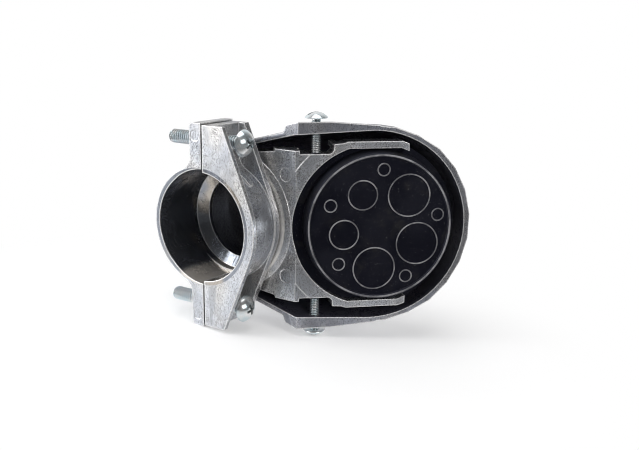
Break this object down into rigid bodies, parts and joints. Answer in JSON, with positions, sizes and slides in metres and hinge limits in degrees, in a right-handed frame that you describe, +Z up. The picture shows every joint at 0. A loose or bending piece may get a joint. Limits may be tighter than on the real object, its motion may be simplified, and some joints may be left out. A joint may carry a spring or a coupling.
{
  "type": "service entrance weatherhead",
  "caption": "Clamp-on service entrance weatherhead: cast base with conduit clamp, removable cast hood and a round insulator with knock-outs facing down at 45 degrees.",
  "frame": {"origin": "on the conduit axis, in the plane of the stop that the conduit end meets", "axes": "+Z up the conduit axis, +Y to the front where the conductors leave, X across the two clamp screws"},
  "size_m": [0.1006, 0.1237, 0.0886],
  "materials": {
    "cast_aluminium": "die-cast, unpainted, slightly rough",
    "insulator_plastic": "moulded black plastic with a soft sheen",
    "plated_steel": "bright zinc plate"
  },
  "bodies": {
    "base": {"base_casting": "cast_aluminium", "conductor_insulator": "insulator_plastic"},
    "strap": {"clamp_strap": "cast_aluminium"},
    "clamp_screw_a": {"clamp_screw_a": "plated_steel"},
    "clamp_screw_b": {"clamp_screw_b": "plated_steel"},
    "hood": {"hood": "cast_aluminium"},
    "hood_screw_a": {"hood_screw_a": "plated_steel"},
    "hood_screw_b": {"hood_screw_b": "plated_steel"}
  },
  "joints": [
    {"name": "strap_slide", "type": "slide", "parent": "base", "child": "strap", "axis": [0, 1, 0], "range_m": [0, 0.019]},
    {"name": "clamp_screw_a_turn", "type": "hinge", "parent": "strap", "child": "clamp_screw_a", "pos_m": [0.0369, 0, -0.0142], "axis": [0, 1, 0], "range_deg": [0, 5400]},
    {"name": "clamp_screw_b_turn", "type": "hinge", "parent": "strap", "child": "clamp_screw_b", "pos_m": [-0.0369, 0, -0.0142], "axis": [0, 1, 0], "range_deg": [0, 5400]},
    {"name": "hood_lift", "type": "slide", "parent": "base", "child": "hood", "axis": [0, -0.7071, 0.7071], "range_m": [0, 0.06]},
    {"name": "hood_screw_a_out", "type": "slide", "parent": "hood", "child": "hood_screw_a", "axis": [1, 0, 0], "range_m": [0, 0.008]},
    {"name": "hood_screw_b_out", "type": "slide", "parent": "hood", "child": "hood_screw_b", "axis": [-1, 0, 0], "range_m": [0, 0.008]}
  ],
  "couplings": [
    {"joint": "clamp_screw_a_turn", "follows": "strap_slide", "rad_per_m": 4947.4},
    {"joint": "clamp_screw_b_turn", "follows": "strap_slide", "rad_per_m": 4947.4}
  ]
}
